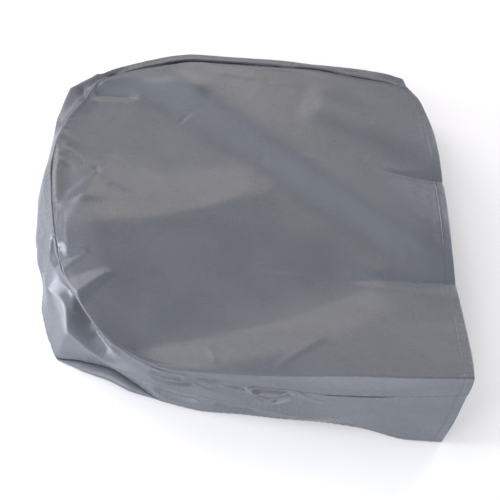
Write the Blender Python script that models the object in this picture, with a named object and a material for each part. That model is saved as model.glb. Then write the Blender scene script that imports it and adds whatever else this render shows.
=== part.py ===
"""Fan cover: an empty bag of coated cloth lying on its back panel, mouth towards +X.

Three cut pieces meet at two seams: the front panel on top, the side band round the closed end
and the back panel on the surface. Each piece is one closed sheet with its own thickness.
"""

import bpy
import numpy as np

# Sizes in millimetres. X runs from the closed end to the mouth, Y across, Z up from the surface.
CLOTH = 2.0  # thickness of every panel
SEAM_PULL = 0.3  # how far each panel stops short of a seam line
ALONG = 34  # cells from the closed end to the mouth
ACROSS = 28  # cells from the near crest to the far seam
WRAP = 3  # cells where the front panel turns down over the near crest
DOWN = 9  # cells down the side band
HEM = 15.0  # width of the hem round the mouth
HEM_THICKNESS = 3.0  # the cloth is folded double there
CENTRE = (-15.6, 41.9)  # plan centre of the whole cover, which becomes the origin

# Side band, one row per section, from the near end of the mouth round the closed end.
# x, y, z: upper seam. lean: shift of the foot along the seam. tuck: hollow under the seam.
# fold: the outermost crease, measured out from the seam. foot: lower seam.
# roll: how far the back panel reaches out past the lower seam before it lies flat.
SECTION_COLUMNS = "x y z lean tuck_out tuck_drop fold_out fold_z foot_out foot_z roll".split()
SECTIONS = {
    "near_mouth": (292, -276, 96, 25, 4, 26, 14, 50, 18, 0, -8),
    "near_hem_end": (217, -275, 90, 8, 2, 22, 6, 45, 14, 0, -8),
    "near_bulge": (160, -271, 83, 2, 2, 20, 3, 40, 1, 0, -8),
    "near_pinch": (101, -264, 77, 0, 2, 20, 5, 20, -3, 0, -8),
    "near_middle": (42, -253, 76, 0, 2, 18, 6, 25, 3, 0, -8),
    "near_slack": (-14, -244, 76, 0, 0, 16, 5, 32, 5, 0, -8),
    "near_dent": (-69, -235, 77, 0, -3, 16, 6, 37, 9, 0, -8),
    "near_turn": (-127, -225, 78, 0, 0, 14, 3, 44, 3, 3, -5),
    "near_corner": (-166, -202, 79, 0, 2, 14, 11, 47, 5, 17, 5),
    "wrap_end": (-195, -181, 81, 0, 4, 17, 14, 50, 7, 19, 8),
    "corner_dent": (-221, -151, 85, 0, 9, 32, 25, 51, 30, 12, 8),
    "corner_fold": (-236, -128, 86, 0, 6, 36, 31, 50, 53, 3, 0),
    "end_near": (-255, -97, 87, 0, 6, 24, 25, 58, 45, 0, -8),
    "end_dip": (-274, -59, 88, 0, 8, 14, 38, 31, 32, 0, -8),
    "end_middle": (-289, 1, 89, 0, 11, 16, 34, 31, 24, 0, -8),
    "end_bulge": (-300, 68, 91, 0, 12, 16, 29, 34, 17, 0, -8),
    "end_far": (-306, 120, 92, 0, 12, 16, 27, 38, 13, 0, -8),
    "end_high": (-307, 160, 93, 0, 9, 14, 19, 46, 10, 0, -8),
    "far_shoulder": (-302, 200, 95, 0, 7, 12, 13, 64, 10, 0, -8),
    "far_rise": (-287, 240, 97, 0, 7, 7, 16, 84, 14, 0, -8),
    "far_peak": (-262, 280, 100, 0, 14, 6, 33, 97, 30, 0, -8),
    "far_corner": (-243, 317, 103, 0, 4, 3, 6, 103, 12, 0, -8),
    "far_gather": (-218, 333, 101, 0, 4, 6, 5, 102, 12, 0, -8),
    "far_left": (-167, 350, 100, 0, 4, 14, 8, 102, 13, 0, -8),
    "far_crest": (-99, 364, 99, 0, 4, 18, 9, 101, 13, 0, -8),
    "far_straight": (-40, 361, 98, 0, 4, 19, 9, 102, 14, 0, -8),
    "far_middle": (33, 355, 97, 0, 4, 18, 9, 101, 14, 0, -8),
    "far_right": (109, 349, 95, 0, 4, 16, 9, 99, 14, 0, -8),
    "far_slack": (176, 334, 92, 0, 5, 12, 13, 96, 18, 0, -8),
    "far_hem_end": (220, 325, 90, 2, 5, 8, 13, 93, 18, 0, -8),
    "far_mouth": (264, 311, 89, 6, 12, -3, 27, 70, 27, 0, -8),
}
WRAP_END = "wrap_end"  # where the near crest runs out into the seam
NEAR_CORNER = "near_corner"  # where the near side of the front panel starts
FAR_CORNER = "far_corner"  # where its far side starts

# Near crest of the front panel, from the mouth to where it runs into the seam: x, y, z.
CREST = (
    (299, -268, 125),
    (215, -262, 118),
    (148, -254, 110),
    (52, -246, 97),
    (-11, -240, 90),
    (-69, -232, 84),
    (-127, -220, 81),
    (-170, -196, 81),
)

# Mouth edge of the front panel between the near crest and the far seam: x, y, z.
MOUTH = (
    (301, -235, 118),
    (301, -204, 111),
    (300, -160, 102),
    (298, -118, 95),
    (297, -60, 90),
    (298, 0, 87),
    (299, 60, 85),
    (298, 120, 84),
    (296, 183, 85),
    (291, 226, 86),
    (282, 262, 87),
    (273, 290, 88),
)

# Folds of the front panel, one row each: a bent line from start through middle to end, its height
# (a trough is below zero), how far its flanks reach to the left and right of the line, how much
# of each flank is rounded at the line (0 for a crease), and the share of its width and height
# that the fold has lost by its end.
FOLD_COLUMNS = "x0 y0 xm ym x1 y1 height left right left_round right_round taper".split()
FOLDS = {
    "long_band": (-175, 385, 62, 178, 345, -80, 18, 185, 98, 0.25, 0.3, 0),
    "corner_band": (-270, 338, -165, 318, -60, 280, 6, 40, 62, 0.1, 0.3, 0.2),
    "middle_ledge": (-292, 92, -160, 32, 66, 118, 15, 180, 200, 0.05, 0.3, 0.15),
    "corner_facet": (-292, 284, -240, 289, -176, 284, -5, 24, 16, 0.3, 0.1, 0.3),
    "far_patch": (80, 272, 200, 222, 335, 128, 7, 75, 60, 0.3, 0.4, 0),
    "left_slope": (-230, -10, -190, -90, -120, -170, 5, 120, 80, 0.5, 0.4, 0),
    "near_valley": (-235, -186, 10, -150, 190, -72, -12, 165, 76, 0.3, 0.15, 0.1),
    "mouth_crease_near": (335, -87, 225, -81, 138, -74, -7, 34, 46, 0.05, 0.2, 0.8),
    "mouth_crease_far": (335, 107, 262, 114, 196, 124, -5, 26, 30, 0.1, 0.1, 0.8),
    "seam_fold_upper": (-305, 38, -262, 2, -214, -30, 6, 30, 26, 0.1, 0.2, 0.8),
    "seam_fold_lower": (-290, -40, -240, -52, -180, -64, 5, 20, 34, 0.1, 0.1, 0.8),
}
FADE = 18.0  # folds die out this close to a seam
STRIP_BOW = 3.0  # bow of the turned-down strip at the mouth
CRISP = 0.5  # how far the curves round and down the band keep the corners between their rows

COLOUR = (0.205, 0.222, 0.250)
ROUGHNESS = 0.42


def curve(points, at):
    """Smooth curve through the points, as rows; at runs from 0 to 1 along its length."""
    points = np.asarray(points, dtype=float)
    step = np.linalg.norm(np.diff(points[:, :3], axis=0), axis=1)
    knots = np.concatenate([[0.0], np.cumsum(step)])
    slope = np.diff(points, axis=0) / step[:, None]
    inner = slope[:-1] * step[1:, None] + slope[1:] * step[:-1, None]
    inner = inner / (step[1:] + step[:-1])[:, None]
    tangent = np.concatenate([slope[:1], inner, slope[-1:]])
    place = np.asarray(at) * knots[-1]
    i = np.clip(np.searchsorted(knots, place, side="right") - 1, 0, len(step) - 1)
    h = step[i][:, None]
    t = ((place - knots[i]) / step[i])[:, None]
    return (
        (1 + 2 * t) * (1 - t) ** 2 * points[i]
        + t * (1 - t) ** 2 * h * tangent[i]
        + t**2 * (3 - 2 * t) * points[i + 1]
        + t**2 * (t - 1) * h * tangent[i + 1]
    )


def crisp_curve(points, at):
    """Curve through the points that lies between the smooth one and straight lines."""
    points = np.asarray(points, dtype=float)
    step = np.linalg.norm(np.diff(points[:, :3], axis=0), axis=1)
    knots = np.concatenate([[0.0], np.cumsum(step)])
    straight = [np.interp(np.asarray(at) * knots[-1], knots, column) for column in points.T]
    return CRISP * np.stack(straight, axis=1) + (1 - CRISP) * curve(points, at)


def hemmed(length, cells):
    """Distances from the mouth along an edge: the hem is the first cell, the rest are even."""
    return np.concatenate([[0.0], np.linspace(HEM, length, cells)])


def section_samples():
    """Every column of the side band round the bag, as rows of the section table."""
    rows = np.array(list(SECTIONS.values()), dtype=float)
    names = list(SECTIONS)
    step = np.linalg.norm(np.diff(rows[:, :3], axis=0), axis=1)
    length = np.concatenate([[0.0], np.cumsum(step)])
    near, wrap, far = (length[names.index(n)] for n in (NEAR_CORNER, WRAP_END, FAR_CORNER))
    at = np.concatenate([
        hemmed(near, ALONG),
        np.linspace(near, wrap, WRAP + 1)[1:],
        np.linspace(wrap, far, ACROSS + 1)[1:],
        length[-1] - hemmed(length[-1] - far, ALONG)[-2::-1],
    ])
    return crisp_curve(rows, at / length[-1])


def outward(plan):
    """Unit vectors square to the plan curve and along it; the first point out of the bag."""
    along = np.gradient(plan, axis=0)
    along /= np.linalg.norm(along, axis=1)[:, None]
    return np.stack([-along[:, 1], along[:, 0]], axis=1), along


def side_band(samples):
    """Outer surface of the band: seam, tuck, fold and foot joined by a smooth section."""
    s = dict(zip(SECTION_COLUMNS, samples.T))
    out, along = outward(samples[:, :2])
    # The mouth leans back at its foot, so the shift runs away from the mouth at both ends.
    side = np.where(np.arange(len(samples)) < len(samples) / 2, 1.0, -1.0)
    lean = (s["lean"] * side)[:, None] * along

    def level(offset, height, share):
        flat = samples[:, :2] + out * np.reshape(offset, (-1, 1)) + lean * share
        return np.concatenate([flat, height[:, None]], axis=1)

    seam = level(0.0, s["z"], 0.0)
    tuck = level(s["tuck_out"], s["z"] - s["tuck_drop"], 0.2)
    fold = level(s["fold_out"], s["fold_z"], 0.5)
    foot = level(s["foot_out"], np.maximum(s["foot_z"], 0.0), 1.0)
    share = np.linspace(0, 1, DOWN + 1)
    return np.stack([crisp_curve(np.stack(row), share) for row in zip(seam, tuck, fold, foot)])


def patch(near, left, far, right):
    """Surface filled in between four edge curves, each as points along it."""
    reach = np.cumsum(np.linalg.norm(np.diff(near[:, :2], axis=0), axis=1))
    u = np.concatenate([[0.0], reach / reach[-1]])[:, None, None]
    v = np.linspace(0, 1, left.shape[0])[None, :, None]
    across = near[:, None] * (1 - v) + far[:, None] * v
    along = left[None] * (1 - u) + right[None] * u
    corners = (near[0] * (1 - u) + near[-1] * u) * (1 - v) + (far[0] * (1 - u) + far[-1] * u) * v
    return across + along - corners


def soften(x):
    """0 to 1 with a level start and end."""
    x = np.clip(x, 0, 1)
    return x * x * (3 - 2 * x)


def flank(away, crest):
    """1 at the fold line to 0 at its edge: straight, rounded over crest and over the toe."""
    toe, crest = 0.4, np.maximum(crest, 0.01)
    away = np.clip(away, 0, 1)
    fallen = np.where(away < crest, away**2 / (2 * crest), away - crest / 2)
    fallen -= np.clip(away + toe - 1, 0, 1) ** 2 / (2 * toe)
    return 1 - fallen / (1 - crest / 2 - toe / 2)


def fold_height(x, y):
    """Sum of all folds at plan points x, y."""
    total = np.zeros_like(x)
    t = np.linspace(0, 1, 60)
    for row in FOLDS.values():
        f = dict(zip(FOLD_COLUMNS, row))
        bend_x = 2 * f["xm"] - (f["x0"] + f["x1"]) / 2
        bend_y = 2 * f["ym"] - (f["y0"] + f["y1"]) / 2
        line_x = (1 - t) ** 2 * f["x0"] + 2 * t * (1 - t) * bend_x + t**2 * f["x1"]
        line_y = (1 - t) ** 2 * f["y0"] + 2 * t * (1 - t) * bend_y + t**2 * f["y1"]
        dx, dy = x[..., None] - line_x, y[..., None] - line_y
        nearest = np.argmin(dx**2 + dy**2, axis=-1)
        dx = np.take_along_axis(dx, nearest[..., None], -1)[..., 0]
        dy = np.take_along_axis(dy, nearest[..., None], -1)[..., 0]
        turn = np.gradient(line_x)[nearest] * dy - np.gradient(line_y)[nearest] * dx
        narrow = 1 - f["taper"] * t[nearest]
        away = np.hypot(dx, dy) / (np.where(turn > 0, f["left"], f["right"]) * narrow)
        shape = flank(away, np.where(turn > 0, f["left_round"], f["right_round"]))
        ends = soften(np.minimum(t[nearest], 1 - t[nearest]) * 5 + 0.15)
        total += f["height"] * narrow * shape * ends
    return total


def near_edge(loop):
    return loop[: ALONG + 1][::-1]


def closed_edge(loop, start):
    return loop[start : ALONG + WRAP + ACROSS + 1]


def far_edge(loop):
    return loop[ALONG + WRAP + ACROSS :]


def front_panel(samples):
    """Outer surface of the front panel: the strip turned down over the crest, then the top."""
    seam = samples[:, :3]
    near, far = near_edge(seam), far_edge(seam)
    wrap = closed_edge(seam, ALONG)[: WRAP + 1]
    left = closed_edge(seam, ALONG + WRAP)
    reach = np.cumsum(np.linalg.norm(np.diff(near, axis=0), axis=1))
    share = 1 - np.concatenate([[0.0], reach / reach[-1]])
    crest = curve([*CREST, left[0]], share)
    mouth = curve([crest[-1], *MOUTH, far[-1]], np.linspace(0, 1, ACROSS + 1))
    top = patch(crest, left, far, mouth)
    inside = np.full(top.shape[:2], 1e6)
    for edge in (crest, left, far):
        away = np.linalg.norm(top[..., None, :2] - edge[None, None, :, :2], axis=-1)
        inside = np.minimum(inside, away.min(axis=-1))
    top[..., 2] += fold_height(top[..., 0], top[..., 1]) * soften(inside / FADE)
    # The strip bows out a little between the crest and the seam.
    share = np.linspace(0, 1, WRAP + 1)[None, :, None]
    strip = near[:, None] * (1 - share) + crest[:, None] * share
    strip[..., 1] -= np.sin(np.pi * share[..., 0]) * np.linspace(0, STRIP_BOW, ALONG + 1)[:, None]
    strip[0] = wrap
    return np.concatenate([strip[:, :-1], top], axis=1)


def back_panel(foot, roll):
    """Outer, lower surface: the part lying flat, its edge set in from the lower seam by roll."""
    floor = foot * (1, 1, 0)
    floor[:, :2] += outward(foot[:, :2])[0] * roll[:, None]
    near, left, far = near_edge(floor), closed_edge(floor, ALONG), far_edge(floor)
    share = np.linspace(0, 1, len(left))[:, None]
    return patch(near, left, far, near[-1] * (1 - share) + far[-1] * share)


def grid_faces(rows, cols):
    index = np.arange(rows * cols).reshape(rows, cols)
    a, b, c, d = index[:-1, :-1], index[1:, :-1], index[1:, 1:], index[:-1, 1:]
    return np.stack([a, b, c, d], axis=-1).reshape(-1, 4)


def edge_loop(rows, cols):
    """Near, closed and far edges of a panel grid, in the order of the side band."""
    index = np.arange(rows * cols).reshape(rows, cols)
    return np.concatenate([index[:0:-1, 0], index[0], index[1:, -1]])


def point_normals(points, faces):
    corners = points[faces]
    normal = np.cross(corners[:, 2] - corners[:, 0], corners[:, 3] - corners[:, 1])
    total = np.zeros_like(points)
    for k in range(4):
        np.add.at(total, faces[:, k], normal)
    return total / np.linalg.norm(total, axis=1)[:, None]


def mitre(first, second):
    """Shared inward step of two panels that meet at a seam, so that their edges match."""
    both = first + second
    both /= np.linalg.norm(both, axis=1)[:, None]
    return both * (CLOTH / np.maximum((both * first).sum(axis=1), 0.6))[:, None]


def pull_in(outer, inner, edge, inward):
    """Moves an edge of a sheet back from the seam line, along the sheet."""
    for points in (outer, inner):
        step = points[inward] - points[edge]
        points[edge] += step / np.linalg.norm(step, axis=1)[:, None] * SEAM_PULL


def sheet_object(name, outer, inner, faces):
    """Closed sheet between two surfaces with the same faces, with a rim all round."""
    shift = len(outer)
    points = (np.concatenate([outer, inner]) - (*CENTRE, 0.0)) / 1000.0
    sides = np.concatenate([np.roll(faces, -k, axis=1)[:, :2] for k in range(4)])
    known = {tuple(side) for side in sides.tolist()}
    rim = [(b, a, a + shift, b + shift) for a, b in sides.tolist() if (b, a) not in known]
    every = faces.tolist() + (faces[:, ::-1] + shift).tolist() + rim
    mesh = bpy.data.meshes.new(name)
    mesh.from_pydata(points.tolist(), [], every)
    mesh.polygons.foreach_set("use_smooth", [True] * len(mesh.polygons))
    mesh.materials.append(cloth_material(name + "_cloth"))
    mesh.update()
    obj = bpy.data.objects.new(name, mesh)
    bpy.context.scene.collection.objects.link(obj)


def cloth_material(name):
    material = bpy.data.materials.new(name)
    material.use_nodes = True
    shader = material.node_tree.nodes["Principled BSDF"]
    shader.inputs["Base Color"].default_value = (*COLOUR, 1.0)
    shader.inputs["Roughness"].default_value = ROUGHNESS
    shader.inputs["Metallic"].default_value = 0.0
    return material


def build():
    for obj in list(bpy.data.objects):
        bpy.data.objects.remove(obj)

    samples = section_samples()
    band = side_band(samples)
    front = front_panel(samples)
    back = back_panel(band[:, -1], samples[:, SECTION_COLUMNS.index("roll")])
    count = len(samples)

    front_faces = grid_faces(*front.shape[:2])
    front_loop = edge_loop(*front.shape[:2])
    band_faces = grid_faces(*band.shape[:2])
    band_top = np.arange(count) * (DOWN + 1)
    band_foot = band_top + DOWN
    # The back panel is its flat grid and a collar of faces from that out to the lower seam.
    flat_loop = edge_loop(*back.shape[:2])
    collar = np.arange(count) + back.shape[0] * back.shape[1]
    ring = np.stack([collar[1:], flat_loop[1:], flat_loop[:-1], collar[:-1]], axis=1)
    back_faces = np.concatenate([grid_faces(*back.shape[:2])[:, ::-1], ring])
    front, back = front.reshape(-1, 3), np.concatenate([back.reshape(-1, 3), band[:, -1]])
    band = band.reshape(-1, 3)

    front_normal = point_normals(front, front_faces)
    band_normal = point_normals(band, band_faces)
    back_normal = point_normals(back, back_faces)
    hem = HEM_THICKNESS / CLOTH
    thick = np.ones((ALONG + 1, WRAP + ACROSS + 1))
    thick[-2:] = hem
    front_depth = front_normal * CLOTH * thick.reshape(-1, 1)
    thick_back = np.concatenate([thick.reshape(-1), np.ones(count)])
    back_depth = back_normal * CLOTH * thick_back[:, None]
    thick = np.ones((count, DOWN + 1))
    thick[:2] = thick[-2:] = hem
    band_depth = band_normal * CLOTH * thick.reshape(-1, 1)

    upper = mitre(front_normal[front_loop], band_normal[band_top])
    lower = mitre(back_normal[collar], band_normal[band_foot])
    for step in (upper, lower):
        step[:2] *= hem
        step[-2:] *= hem
    front_depth[front_loop] = band_depth[band_top] = upper
    back_depth[collar] = band_depth[band_foot] = lower
    front_inner, band_inner, back_inner = front - front_depth, band - band_depth, back - back_depth
    flat = back[:, 2] == 0
    flat[collar] = False
    back_inner[flat, 2] = CLOTH * thick_back[flat]

    rows, cols = ALONG + 1, WRAP + ACROSS + 1
    row, col = np.divmod(front_loop, cols)
    front_inward = np.clip(row, 1, rows - 1) * cols + np.clip(col, 1, cols - 2)
    pull_in(front, front_inner, front_loop, front_inward)
    pull_in(band, band_inner, band_top, band_top + 1)
    pull_in(band, band_inner, band_foot, band_foot - 1)
    pull_in(back, back_inner, collar, flat_loop)

    sheet_object("front_panel", front, front_inner, front_faces)
    sheet_object("side_band", band, band_inner, band_faces)
    sheet_object("back_panel", back, back_inner, back_faces)


build()
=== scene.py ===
# Fan cover of coated cloth: an empty bag lying on its back panel, its hemmed mouth to the right.
# Lengths are millimetres until a mesh is made. X runs to the mouth, Y to the far side, Z up.

import math

import bpy
import numpy as np
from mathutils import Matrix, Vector


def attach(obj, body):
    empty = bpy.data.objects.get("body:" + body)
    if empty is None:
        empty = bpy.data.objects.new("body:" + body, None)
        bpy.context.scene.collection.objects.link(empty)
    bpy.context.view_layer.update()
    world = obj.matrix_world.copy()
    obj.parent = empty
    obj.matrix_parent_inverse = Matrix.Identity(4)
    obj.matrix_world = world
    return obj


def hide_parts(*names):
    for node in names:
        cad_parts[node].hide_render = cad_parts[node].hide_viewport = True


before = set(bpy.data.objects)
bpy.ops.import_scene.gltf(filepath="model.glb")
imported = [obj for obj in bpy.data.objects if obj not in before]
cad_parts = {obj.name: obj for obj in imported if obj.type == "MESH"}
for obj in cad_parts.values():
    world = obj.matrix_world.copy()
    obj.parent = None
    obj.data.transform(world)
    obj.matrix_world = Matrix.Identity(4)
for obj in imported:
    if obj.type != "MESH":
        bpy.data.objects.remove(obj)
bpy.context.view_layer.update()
planCentre = (-15.6, 41.9)  # middle of the cover's outline, which becomes the origin
print("frame loaded")

# What a user would change on the whole cover.
coverValues = {
    "cloth": 0.8,  # thickness of the cloth
    "hem": 15.0,  # width of the hem round the mouth
    "hemThickness": 1.2,  # the cloth is folded double there
    "hemProud": 0.25,  # how far the hem stands up from the panel
    "hemRound": 1.2,  # rounding of its folded edge
    "hemSlope": 1.4,  # width of the step at its inner edge
    "stitchRow": 12.4,  # distance of the row of stitches from the mouth
    "stitchSink": 0.35,  # how deep the stitches draw the hem in
    "alongCells": 160,  # cells from the closed end to the mouth
    "acrossCells": 190,  # cells from the near crest to the far seam
    "stripCells": 12,  # cells where the front panel turns down over the near crest
    "downCells": 54,  # cells down the side band
    "seamDip": 1.3,  # how deep the seams sink between the panels
    "seamDipReach": 0.9,
    "seamLip": 0.5,  # the seam allowance inside lifts the cloth beside the seam
    "seamLipAt": 2.6,
    "seamLipReach": 1.3,
    "pucker": 0.7,  # height of the small gathers along the seams
    "puckerReach": 7.0,
    "crisp": 0.5,  # how far the band keeps the corners between the rows of its table
    "stripBow": 3.0,  # bow of the turned-down strip at the mouth
    "stripWidth": 40.0,  # the strip's rough width, for the spacing of its rows
    "panelWidth": 570.0,  # the same for the top, from the near crest to the far seam
    "foldFade": 18.0,  # main folds die out this close to a seam
    "smallFade": 5.0,  # and the small ones this close
    "crumpleFade": 25.0,
}
# Change one for other gathers or other faint creases.
seeds = {"frontSeam": 0.4, "bandSeam": 1.3, "footSeam": 2.6, "depth": 2.2, "hem": 5.0}
crumpleSeeds = {"front": 4, "band": 8}

# Side band, one row per section, from the near end of the mouth round the closed end.
# x, y, z: upper seam. lean: shift of the foot along the seam. tuck: hollow under the seam.
# fold: the outermost crease, measured out from the seam. foot: lower seam.
# roll: how far the back panel reaches out past the lower seam before it lies flat.
sectionColumns = "x y z lean tuckOut tuckDrop foldOut foldZ footOut footZ roll".split()
sections = {
    "nearMouth": (292, -276, 96, 25, 4, 26, 14, 50, 18, 0, -8),
    "nearHemEnd": (217, -275, 90, 8, 2, 22, 6, 45, 14, 0, -8),
    "nearBulge": (160, -271, 83, 2, 2, 20, 3, 40, 1, 0, -8),
    "nearPinch": (101, -264, 77, 0, 2, 20, 5, 20, -3, 0, -8),
    "nearMiddle": (42, -253, 76, 0, 2, 18, 6, 25, 3, 0, -8),
    "nearSlack": (-14, -244, 76, 0, 0, 16, 5, 32, 5, 0, -8),
    "nearDent": (-69, -235, 77, 0, -3, 16, 6, 37, 9, 0, -8),
    "nearTurn": (-127, -225, 78, 0, 0, 14, 3, 44, 3, 3, -5),
    "nearCorner": (-166, -202, 79, 0, 2, 14, 11, 47, 3, 17, 5),
    "wrapEnd": (-195, -181, 81, 0, -1, 20, 15, 49, 4, 19, 8),
    "cornerDent": (-221, -151, 85, 0, -5, 32, 24, 52, 27, 12, 8),
    "cornerFold": (-236, -128, 86, 0, -8, 32, 30, 53, 53, 3, 0),
    "endNear": (-255, -97, 87, 0, -5, 16, 15, 66, 50, 0, -8),
    "endDip": (-274, -59, 88, 0, 7, 13, 25, 56, 41, 0, -8),
    "endMiddle": (-289, 1, 89, 0, 11, 16, 34, 31, 24, 0, -8),
    "endBulge": (-300, 68, 91, 0, 12, 16, 29, 34, 17, 0, -8),
    "endFar": (-306, 120, 92, 0, 12, 16, 27, 38, 13, 0, -8),
    "endHigh": (-307, 160, 93, 0, 9, 14, 19, 46, 10, 0, -8),
    "farShoulder": (-302, 200, 95, 0, 8, 10, 15, 68, 10, 0, -8),
    "farRise": (-287, 240, 97, 0, 9, 6, 23, 88, 14, 0, -8),
    "farPeak": (-262, 280, 100, -14, 16, 5, 38, 98, 30, 0, -8),
    "farCorner": (-243, 317, 103, 0, 4, 2, 11, 104, 13, 0, -8),
    "farGather": (-218, 333, 101, 0, 4, 2, 12, 102, 13, 0, -8),
    "farLeft": (-167, 350, 100, 0, 5, 0, 19, 97, 18, 0, -8),
    "farCrest": (-99, 364, 99, 0, 6, 0, 20, 95, 19, 0, -8),
    "farStraight": (-40, 361, 98, 0, 6, 0, 19, 94, 19, 0, -8),
    "farMiddle": (33, 355, 97, 0, 6, 0, 19, 93, 19, 0, -8),
    "farRight": (109, 349, 95, 0, 6, 0, 17, 91, 19, 0, -8),
    "farSlack": (176, 334, 92, 0, 8, 0, 25, 88, 24, 0, -8),
    "farHemEnd": (220, 325, 90, 8, 8, 1, 20, 91, 22, 0, -8),
    "farMouth": (260, 310, 89, 32, 5, 0, 17, 91, 24, 0, -8),
}

# Near crest of the front panel, from the mouth to where it runs into the seam: x, y, z.
crestLine = (
    (299, -268, 125),
    (215, -262, 118),
    (148, -254, 110),
    (52, -246, 97),
    (-11, -240, 90),
    (-69, -232, 84),
    (-127, -220, 81),
    (-170, -196, 81),
)

# Mouth edge of the front panel between the near crest and the far seam: x, y, z.
mouthLine = (
    (301, -235, 118),
    (301, -204, 111),
    (300, -160, 102),
    (298, -118, 95),
    (296, -60, 90),
    (296, 0, 87),
    (297, 60, 85),
    (296, 120, 84),
    (294, 183, 85),
    (290, 226, 86),
    (282, 262, 87),
    (273, 290, 88),
)

# Folds of the front panel, one row each: a bent line from start through middle to end, its height
# (a trough is below zero), how far its flanks reach to the left and right of the line, how much
# of each flank is rounded at the line (0 for a crease), and the share of its width and height
# that the fold has lost by its end.
foldColumns = "x0 y0 xm ym x1 y1 height left right leftRound rightRound taper".split()
mainFolds = {
    "longBand": (-175, 385, 62, 178, 345, -80, 18, 185, 84, 0.25, 0.3, 0),
    "cornerBand": (-270, 338, -165, 318, -60, 280, 6, 40, 62, 0.1, 0.3, 0.2),
    "middleLedge": (-300, 66, -156, 34, 66, 118, 14, 180, 190, 0.03, 0.1, 0.45),
    "cornerFacet": (-292, 284, -240, 289, -176, 284, -5, 24, 16, 0.3, 0.1, 0.3),
    "farPatch": (80, 272, 200, 222, 335, 128, 7, 75, 60, 0.3, 0.4, 0),
    "leftSlope": (-240, 56, -194, -66, -120, -170, 3.5, 120, 80, 0.5, 0.4, 0),
    "nearValley": (-235, -186, 10, -150, 190, -72, -10, 165, 76, 0.3, 0.15, 0.1),
    "mouthCreaseNear": (335, -87, 225, -81, 138, -74, -7, 34, 46, 0.05, 0.2, 0.8),
    "mouthCreaseFar": (335, 107, 262, 114, 196, 124, -5, 26, 30, 0.1, 0.1, 0.8),
}
# The small creases between them, too fine for the solid.
smallFolds = {
    "leftLip": (-296, 190, -298, 120, -288, 46, 4.2, 24, 9, 0.1, 0.1, 0.5),
    "ledgeNotch": (-155, 130, -85, 126, -28, 150, -1.8, 50, 26, 0.3, 0.1, 0.2),
    "fanFall": (-248, 106, -226, -4, -196, -104, 3.0, 60, 60, 0.3, 0.1, 0),
    "seamCreaseA": (-290, 184, -268, 172, -244, 142, -1.6, 9, 7, 0.02, 0.1, 0.3),
    "seamCreaseB": (-244, 144, -232, 122, -214, 104, -1.8, 9, 7, 0.02, 0.1, 0.3),
    "seamCreaseC": (-218, 106, -200, 92, -176, 84, -2.2, 14, 8, 0.05, 0.2, 0.5),
    "seamCreaseD": (-302, 208, -286, 200, -262, 184, 2.6, 12, 9, 0.05, 0.1, 0.8),
    "seamCreaseE": (-300, 150, -276, 142, -258, 118, 1.8, 14, 10, 0.1, 0.1, 0.8),
    "fanRidgeA": (-306, 8, -268, -18, -232, -31, 4.2, 26, 26, 0.02, 0.1, 0.6),
    "fanRidgeB": (-286, -66, -260, -50, -234, -33, 3.5, 16, 10, 0.02, 0.05, 0.7),
    "fanRidgeC": (-270, -124, -232, -90, -196, -62, 11.0, 50, 24, 0.02, 0.1, 0.75),
    "fanLine": (-236, -31, -216, -36, -196, -38, -0.6, 8, 8, 0.05, 0.1, 0.8),
    "arcUpper": (-113, 227, -100, 246, -76, 255, -1.2, 5, 5, 0.1, 0.1, 0.5),
    "arcLower": (-118, 262, -98, 256, -74, 262, 1.0, 5, 7, 0.1, 0.1, 0.5),
    "farLine": (-60, 330, 20, 318, 150, 316, 0.9, 12, 12, 0.1, 0.1, 0.7),
    "hairUpper": (16, 307, 100, 311, 188, 312, 0.6, 9, 9, 0.1, 0.1, 0.5),
    "hairMiddle": (19, 145, 60, 146, 109, 143, 0.5, 9, 9, 0.1, 0.1, 0.5),
    "hairLower": (0, -57, 50, -64, 102, -68, 0.5, 9, 9, 0.1, 0.1, 0.5),
    "leftLine": (-258, 154, -255, 106, -252, 58, 3.0, 50, 36, 0.1, 0.1, 0),
    "nearLineA": (112, -175, 70, -205, 30, -236, 1.2, 14, 14, 0.1, 0.1, 0.5),
    "nearLineB": (-55, -188, -52, -202, -46, -220, 1.4, 9, 9, 0.1, 0.1, 0.4),
    "packNear": (335, -85, 216, -80, 120, -76, -1.8, 5, 7, 0.05, 0.1, 0.9),
    "packFar": (335, 108, 250, 115, 190, 123, -1.8, 5, 6, 0.05, 0.1, 0.9),
}
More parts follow.
